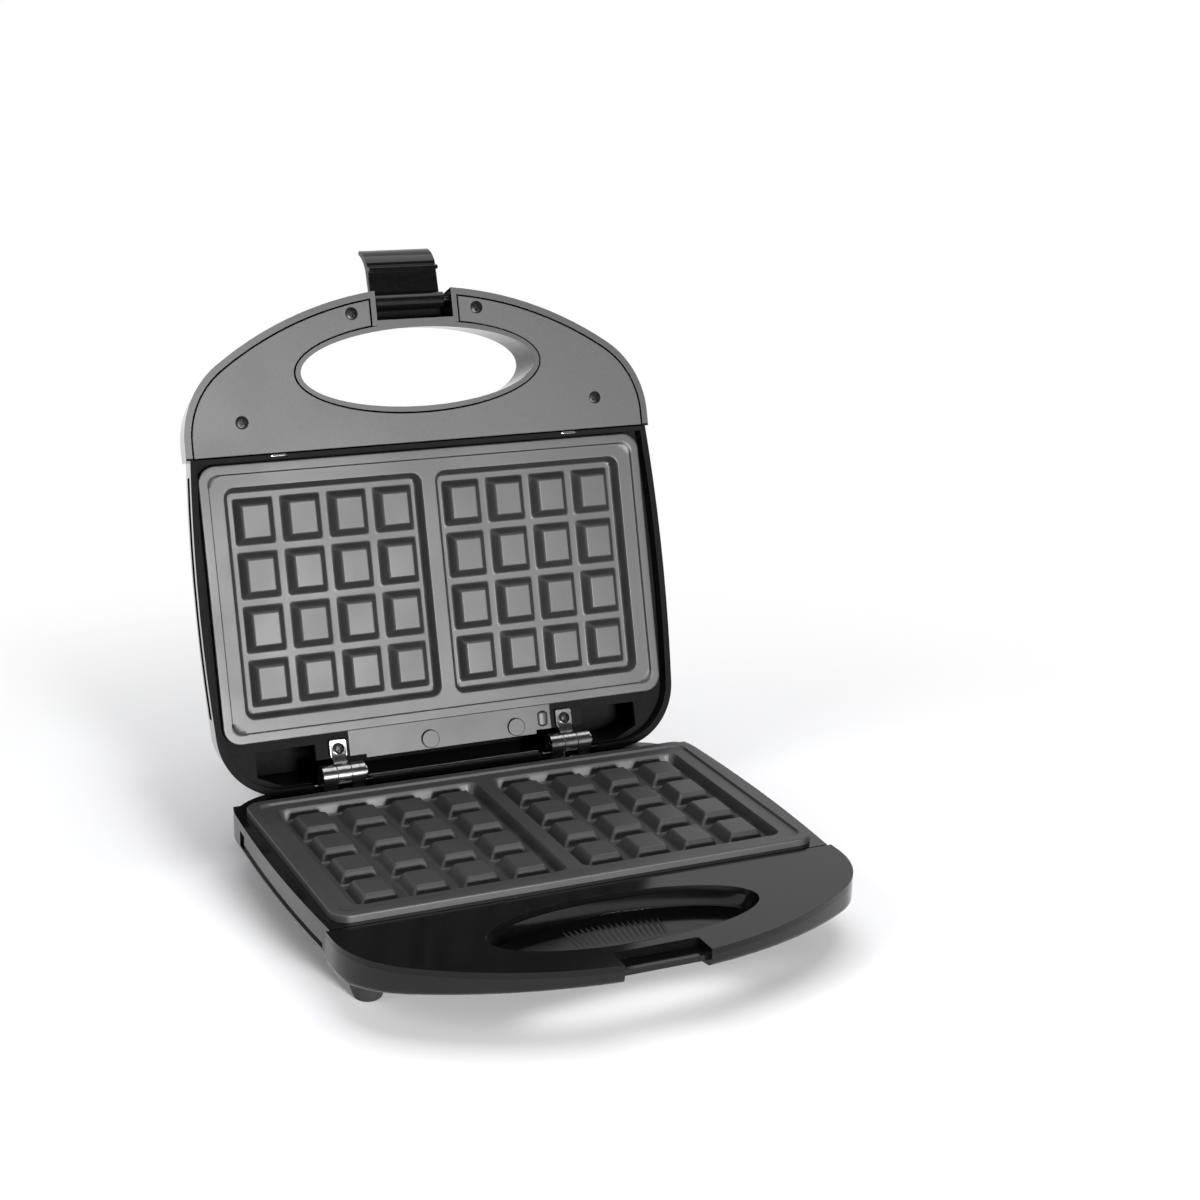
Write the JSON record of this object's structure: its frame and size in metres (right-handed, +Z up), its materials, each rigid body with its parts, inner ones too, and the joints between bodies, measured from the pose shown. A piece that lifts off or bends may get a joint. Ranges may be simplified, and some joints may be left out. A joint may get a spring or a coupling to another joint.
{
  "type": "waffle maker",
  "caption": "Low clamshell waffle maker, open, with hinged lid, gridded non-stick plates, pierced half-moon handles, swinging front latch and a tied mains lead.",
  "frame": {"origin": "on the floor under the middle of the open object's box, without its lead", "axes": "+Z up, +X to the right, +Y to the back; the handles and the latch are at -Y when the lid is closed"},
  "size_m": [0.2519, 0.3589, 0.2556],
  "materials": {
    "casing": "high-gloss black moulded plastic",
    "handle_cover": "semi-gloss black moulded plastic",
    "non_stick": "dark grey non-stick coating on cast aluminium",
    "steel": "plated steel",
    "sheet": "bright rolled sheet",
    "element": "heat-tinted steel sheath",
    "dark_screw": "blackened steel",
    "latch": "gloss black moulded plastic",
    "bezel": "gloss black moulded plastic",
    "red_lens": "clear red moulded plastic",
    "green_lens": "clear green moulded plastic",
    "inner_plastic": "plain off-white moulded plastic",
    "lamp": "clear glass",
    "foot": "matt black rubber",
    "cord": "satin black flexible sheath",
    "plug": "satin black moulded plastic",
    "plug_pin": "nickel-plated brass"
  },
  "bodies": {
    "base": {"base_shell": "casing", "base_handle_cover": "handle_cover", "base_cover_screws": "dark_screw", "lower_plate": "non_stick", "lower_plate_screws": "steel", "lower_heating_element": "element", "lower_element_straps": "sheet", "lower_heat_shield": "sheet", "base_hinge_brackets": "steel", "base_hinge_screws": "steel", "hinge_pins": "steel", "terminal_block": "inner_plastic", "foot_front_left": "foot", "foot_front_right": "foot", "foot_rear_left": "foot", "foot_rear_right": "foot", "cord_gland": "cord", "power_cord": "cord", "cord_hank": "cord", "cord_tie": "cord", "plug_body": "plug", "plug_pins": "plug_pin"},
    "lid": {"lid_shell": "casing", "lid_handle_cover": "handle_cover", "lid_cover_screws": "dark_screw", "upper_plate": "non_stick", "upper_plate_screws": "steel", "upper_heating_element": "element", "upper_element_straps": "sheet", "upper_heat_shield": "sheet", "thermostat": "sheet", "thermal_fuse": "steel", "lid_hinge_brackets": "steel", "lid_hinge_screws": "dark_screw", "rear_pads": "casing", "latch_pin": "steel", "lens_bezel": "bezel", "red_lens": "red_lens", "green_lens": "green_lens", "lamp_holder": "inner_plastic", "indicator_lamps": "lamp"},
    "latch": {"latch_clip": "latch"}
  },
  "joints": [
    {"name": "lid_hinge", "type": "hinge", "parent": "base", "child": "lid", "pos_m": [0, 0.06492, 0.0333], "axis": [1, 0, 0], "range_deg": [0, 106.5]},
    {"name": "latch_hinge", "type": "hinge", "parent": "lid", "child": "latch", "pos_m": [0, 0.13059, 0.23495], "axis": [1, 0, 0], "range_deg": [0, 95]}
  ]
}
